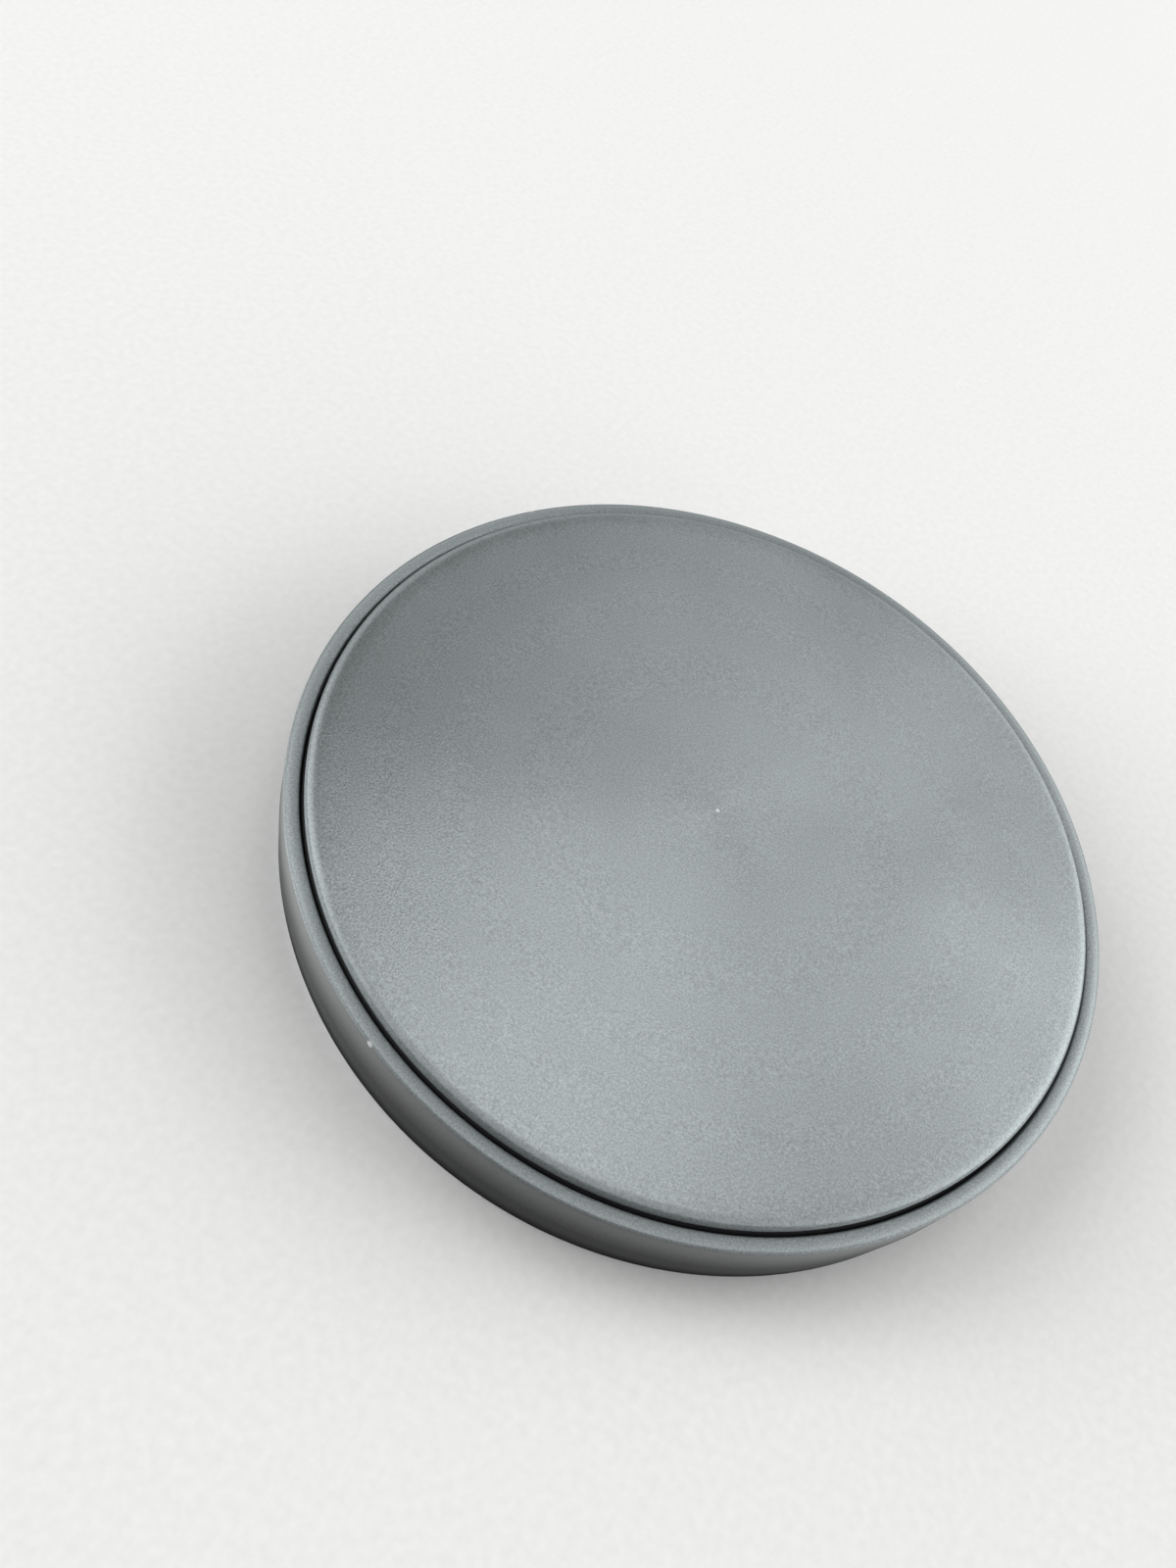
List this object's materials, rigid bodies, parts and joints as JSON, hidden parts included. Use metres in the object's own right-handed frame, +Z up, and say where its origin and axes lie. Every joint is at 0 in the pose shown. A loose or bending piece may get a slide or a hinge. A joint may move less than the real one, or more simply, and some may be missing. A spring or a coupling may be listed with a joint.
{
  "type": "crystallizing dish",
  "caption": "Low round covered crystallizing dish in satin grey turned metal, with a flat drop-in plate lid, a seal ring and a foot ring.",
  "frame": {"origin": "on the table, under the middle of the dish", "axes": "+Z up along the dish's turning axis; X and Y are any two level directions, because the dish is round"},
  "size_m": [0.14, 0.14, 0.0164],
  "materials": {
    "dish_metal": "satin grey, finely turned and blasted",
    "lid_metal": "satin grey, with fine concentric turning marks",
    "seal_rubber": "matt black",
    "foot_rubber": "matt black"
  },
  "bodies": {
    "dish_body": {"dish": "dish_metal", "foot_ring": "foot_rubber"},
    "seal_body": {"seal_ring": "seal_rubber"},
    "lid_body": {"lid": "lid_metal"}
  },
  "joints": [
    {"name": "lid_lift", "type": "slide", "parent": "dish_body", "child": "seal_body", "axis": [0, 0, 1], "range_m": [0, 0.06]},
    {"name": "lid_turn", "type": "hinge", "parent": "seal_body", "child": "lid_body", "pos_m": [0, 0, 0.0138], "axis": [0, 0, 1], "continuous": true}
  ]
}
